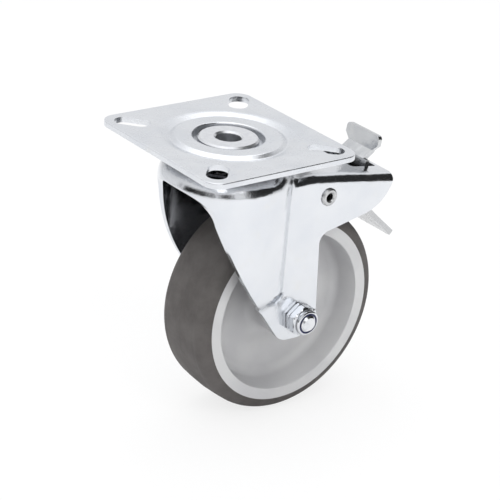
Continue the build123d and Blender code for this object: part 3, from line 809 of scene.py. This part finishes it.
@dataclass
class Wheel(SubAssembly):
    """Tyre, rim and roller bearing, in millimetres."""

    tread_radius: float = 50.0
    crown: float = 0.5
    half_width: float = 16.3
    shoulder: float = 6.0
    seat_radius: float = 43.6
    seat_step: float = 2.8
    seat_half_width: float = 11.5
    parting_height: float = 0.07
    parting_width: float = 0.22
    groove_depth: float = 0.10
    groove_width: float = 0.35
    side_draft: float = 0.12
    crown_steps: int = 40
    shoulder_steps: int = 10
    round_steps: int = 180

    def tread(self) -> list[tuple[float, float]]:
        """The tread's crown with a parting ridge in its middle and a groove at each side.

        Returns:
            Radius and place across, from one shoulder to the other.
        """
        edge = self.half_width - self.shoulder
        places = []
        for step in range(self.crown_steps + 1):
            along = -edge + 2 * edge * step / self.crown_steps
            radius = self.tread_radius - self.crown * (along / edge) ** 2
            ridge = math.exp(-(along / self.parting_width) ** 2)
            reach = (abs(along) - edge + self.groove_width) / self.groove_width
            groove = math.exp(-reach ** 2)
            places.append((radius + self.parting_height * ridge
                           - self.groove_depth * groove, along))
        return places

    def side(self) -> list[tuple[float, float]]:
        """One rounded shoulder and the tyre's seat on the rim.

        Returns:
            Radius and place across, from the tread to the rim.
        """
        middle = (self.tread_radius - self.crown - self.shoulder, self.half_width - self.shoulder)
        places = []
        for step in range(1, self.shoulder_steps + 1):
            angle = math.pi / 2 * step / self.shoulder_steps
            places.append((middle[0] + self.shoulder * math.cos(angle),
                           middle[1] + self.shoulder * math.sin(angle)))
        places.append((self.seat_radius, self.half_width - self.side_draft))
        places.append((self.seat_radius, self.seat_half_width))
        places.append((self.seat_radius - self.seat_step, self.seat_half_width))
        return places

    def tyre(self) -> bpy.types.Object:
        """The moulded tyre, in place of the plain one.

        Returns:
            The piece.
        """
        one_side = self.side()
        other_side = [(radius, -along) for radius, along in reversed(one_side)]
        profile = self.tread() + one_side + other_side
        piece = turned_form("moulded_tyre", AXLE, profile, self.round_steps)
        piece.data.materials.append(TyreRubber("tyre_rubber").material())
        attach(piece, "wheel")
        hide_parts("tyre")
        log.info("moulded_tyre: %d facets", len(piece.data.polygons))
        return piece

    def dress(self) -> None:
        """Finish every node of the group."""
        self.tyre()
        self.paint("rim", MouldedGrey("rim_plastic", AXLE).material())
        self.paint("bearing_rollers", HardSteel("roller_steel").material())
        self.paint("roller_cage", MouldedNylon(
            "cage_nylon", (0.02, 0.02, 0.02), (0.04, 0.04, 0.04)).material())


@dataclass
class Brake(SubAssembly):
    """The foot brake's lever, tab, shoe and swivel lock."""

    def dress(self) -> None:
        """Finish every node of the group."""
        # painted shade: a darker copy of the bright zinc stands in for the shade on the pedal's
        # underside
        self.paint("brake_pedal", BrightZinc(
            "pedal_zinc_painted_shade", light=(0.53, 0.535, 0.54), deep=(0.46, 0.465, 0.475),
            warm=(0.51, 0.505, 0.495), roughness=0.26).material())
        # painted shade: a darker copy of the bright zinc keeps the tab from reading white
        self.paint("release_tab", BrightZinc(
            "tab_zinc_painted_shade", light=(0.55, 0.56, 0.57), deep=(0.45, 0.46, 0.48),
            grain_turn=90.0).material())
        self.paint("brake_shoe", MouldedNylon(
            "shoe_rubber", (0.02, 0.02, 0.021), (0.035, 0.035, 0.036), 0.6).material())
        self.paint("lock_leaf_spring", HardSteel(
            "leaf_steel", (0.42, 0.43, 0.46), (0.22, 0.23, 0.27), 0.25).material())
        self.paint("leaf_rivets", BrightZinc("leaf_rivet_zinc").material())


# ------------------------------------------------------------------ studio
@dataclass(frozen=True)
class SoftBox:
    """One rectangular lamp, in metres and watts; mirrored says if shiny metal shows it."""

    name: str
    place: Point
    aim: Point
    size: tuple[float, float]
    power: float
    mirrored: bool

    def hang(self) -> None:
        """Put the lamp in its place."""
        lamp = bpy.data.lights.new(self.name, "AREA")
        lamp.shape = "RECTANGLE"
        lamp.size, lamp.size_y = self.size
        lamp.energy = self.power
        box = bpy.data.objects.new(self.name, lamp)
        box.location = self.place
        box.visible_glossy = self.mirrored
        away = Vector(self.place) - Vector(self.aim)
        box.rotation_euler = away.to_track_quat("Z", "Y").to_euler()
        bpy.context.scene.collection.objects.link(box)


SOFT_BOXES = (
    SoftBox("overhead_box", (0.1, 0.2, 1.1), (0.0, 0.0, -0.03), (1.2, 1.0), 3.1, True),
    SoftBox("left_box", (-1.1, -0.5, 0.5), (0.0, 0.0, -0.05), (0.7, 0.9), 1.2, False),
    SoftBox("high_box", (-0.50, -0.95, 1.05), (0.0, 0.0, -0.03), (1.3, 0.8), 2.7, True),
    SoftBox("front_box", (0.35, -1.2, 0.7), (0.02, 0.0, -0.06), (0.8, 0.6), 4.6, False),
)


@dataclass
class Studio:
    """White floor, soft boxes and the surroundings that the metal reflects."""

    floor_level: float = -0.1348
    floor_reach: float = 12.0
    backdrop_way: Point = (0.36, 0.933, 0.0)
    backdrop_edge: Band = Band(-0.1, 0.3)
    doorway_way: Point = (0.766, -0.643, 0.0)
    doorway_edge: Band = Band(0.66, 0.76)
    bench_edge: Band = Band(0.3, 0.5)
    clutter: Grain = Grain(2.3, 2.0, 0.5)
    clutter_edge: Band = Band(0.42, 0.55)
    paper_edge: Band = Band(0.3, 0.9)
    backdrop: float = 0.92
    ceiling: float = 1.15
    ceiling_edge: Band = Band(0.83, 0.92)
    room: float = 0.03
    paper_seen: float = 1.0
    daylight: Colour = (0.985, 0.99, 1.0)
    shadow_seen: float = 0.22
    floor_tone: Colour = (0.97, 0.97, 0.97)
    floor_rough: float = 0.9
    floor_sheen: float = 0.1

    def floor(self) -> None:
        """Lay a pale floor under the wheel."""
        mesh = bpy.data.meshes.new("studio_floor")
        form = bmesh.new()
        bmesh.ops.create_grid(form, x_segments=2, y_segments=2, size=self.floor_reach)
        bmesh.ops.translate(form, verts=form.verts, vec=(0.0, 0.0, self.floor_level))
        form.to_mesh(mesh)
        form.free()
        ground = bpy.data.objects.new("studio_floor", mesh)
        bpy.context.scene.collection.objects.link(ground)
        bench = PaintBench("floor_paper", metallic=0.0)
        bench.set("Base Color", self.floor_tone)
        bench.set("Roughness", self.floor_rough)
        bench.set("Specular IOR Level", self.floor_sheen)
        lit = bench.node("ShaderNodeEmission", {}, {"Color": (1.0, 1.0, 1.0), "Strength": 1.0})
        seen = bench.node("ShaderNodeLightPath", {}, {}).out("Is Camera Ray")
        bench.finish_with(bench.node("ShaderNodeMixShader", {}, {
            0: seen * (1.0 - self.shadow_seen), 1: Wire(bench, bench.shader), 2: lit}))
        mesh.materials.append(bench.material)

    def surroundings(self) -> None:
        """Pale walls and ceiling, with a dark doorway on one side and dark benches low down."""
        world = bpy.data.worlds.new("studio")
        bpy.context.scene.world = world
        world.use_nodes = True
        bench = Bench(world.node_tree)
        way = bench.node("ShaderNodeTexCoord", {}, {}).out("Generated")
        height = bench.dot(way, (0.0, 0.0, 1.0))
        compass = bench.vector("NORMALIZE", bench.vector("MULTIPLY", way, Axis.UP.value))
        below_ceiling = 1.0 - height.band(self.ceiling_edge)
        doorway = bench.dot(compass, self.doorway_way).band(self.doorway_edge) * below_ceiling
        behind = bench.dot(compass, self.backdrop_way).band(self.backdrop_edge)
        clutter = bench.noise(compass, self.clutter).band(self.clutter_edge)
        benches = (1.0 - height.band(self.bench_edge)) * (1.0 - behind) * clutter
        dark = doorway.greater(benches)
        paper = height.band(self.paper_edge) * (self.ceiling - self.backdrop) + self.backdrop
        light = paper * (1.0 - dark) + dark * self.room
        seen = bench.node("ShaderNodeLightPath", {}, {}).out("Is Camera Ray")
        glow = bench.node("ShaderNodeBackground", {}, {
            "Color": self.daylight,
            "Strength": seen * self.paper_seen + (1.0 - seen) * light})
        end = bench.tree.nodes.new("ShaderNodeOutputWorld")
        bench.tree.links.new(glow.socket, end.inputs["Surface"])

    def build(self) -> None:
        """Set the whole studio up."""
        self.floor()
        self.surroundings()
        for box in SOFT_BOXES:
            box.hang()
        bpy.context.scene.view_settings.view_transform = "Standard"
        log.info("studio built")


@dataclass
class Viewpoint:
    """Where the camera stands, in metres and degrees."""

    place: Point = (-0.44993, -0.57968, 0.28121)
    azimuth: float = -38.86
    elevation: float = 24.49
    roll: float = 4.91
    lens: float = 131.4
    sensor: float = 36.0
    nearest: float = 0.01
    farthest: float = 100.0

    def build(self) -> None:
        """Make the camera and look through it."""
        a, e, r = (math.radians(v) for v in (self.azimuth, self.elevation, self.roll))
        back = Vector((math.sin(a) * math.cos(e), -math.cos(a) * math.cos(e), math.sin(e)))
        right = Vector((math.cos(a), math.sin(a), 0.0))
        up = back.cross(right)
        right_rolled = right * math.cos(r) + up * math.sin(r)
        up_rolled = up * math.cos(r) - right * math.sin(r)
        turn = Matrix((right_rolled, up_rolled, back)).transposed()
        data = bpy.data.cameras.new("camera")
        data.lens = self.lens
        data.sensor_width = self.sensor
        data.sensor_fit = "HORIZONTAL"
        data.clip_start = self.nearest
        data.clip_end = self.farthest
        camera = bpy.data.objects.new("camera", data)
        camera.matrix_world = Matrix.Translation(Vector(self.place)) @ turn.to_4x4()
        bpy.context.scene.collection.objects.link(camera)
        bpy.context.scene.camera = camera
        log.info("camera placed")


def main() -> None:
    """Dress every sub-assembly, then build the studio and the camera."""
    logging.basicConfig(level=logging.INFO, format="%(name)s: %(message)s")
    for group in (PlateAndSwivel(), Fork(), Wheel(), Brake()):
        group.dress()
    Studio().build()
    Viewpoint().build()


if __name__ == "__main__":
    main()
